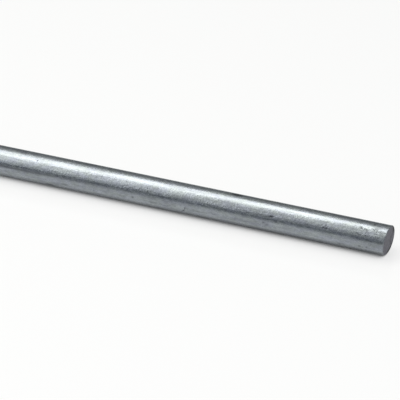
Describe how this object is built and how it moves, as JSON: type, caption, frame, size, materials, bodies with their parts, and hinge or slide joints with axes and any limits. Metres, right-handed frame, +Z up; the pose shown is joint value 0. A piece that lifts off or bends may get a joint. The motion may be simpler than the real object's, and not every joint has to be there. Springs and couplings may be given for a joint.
{
  "type": "round bar",
  "caption": "Straight solid round steel bar with a drawn, zinc-coated surface and cropped ends whose rims are rounded over; used as a rod, axle, rail or peg, or cut to length.",
  "frame": {"origin": "middle of the bar: on its axis, halfway between the two end faces", "axes": "+X along the bar's axis; +Z up as the bar lies; +Y across it"},
  "size_m": [1.0008, 0.012, 0.012],
  "materials": {
    "zinc_steel": "drawn steel with a thin zinc coat: semi-bright, finely mottled, with faint lengthwise drawing lines; cut ends darker and dull"
  },
  "bodies": {
    "root": {"round_bar": "zinc_steel"}
  },
  "joints": []
}
